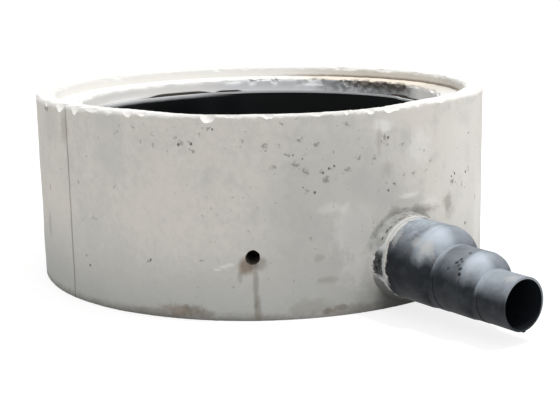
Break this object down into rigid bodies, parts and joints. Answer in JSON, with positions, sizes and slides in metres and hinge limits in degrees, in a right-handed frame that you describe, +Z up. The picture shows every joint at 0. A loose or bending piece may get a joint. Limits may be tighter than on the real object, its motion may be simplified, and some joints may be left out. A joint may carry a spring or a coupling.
{
  "type": "lined manhole base",
  "caption": "Round concrete manhole base with a rebated rim, a black plastic liner with a drain channel, and a stepped plastic stub for a pipe.",
  "frame": {"origin": "on the ring's axis, in the plane of the underside", "axes": "+Z up along the ring's axis, +X along the stub, away from the ring"},
  "size_m": [1.634, 1.2398, 0.5],
  "materials": {
    "concrete": "bare cast concrete, pale grey, with small air holes and stains",
    "liner_plastic": "black moulded polyethylene",
    "stub_plastic": "black moulded polyethylene, dusty and weathered to blue-grey on top"
  },
  "bodies": {
    "root": {"concrete_ring": "concrete", "liner": "liner_plastic", "stub": "stub_plastic"}
  },
  "joints": []
}
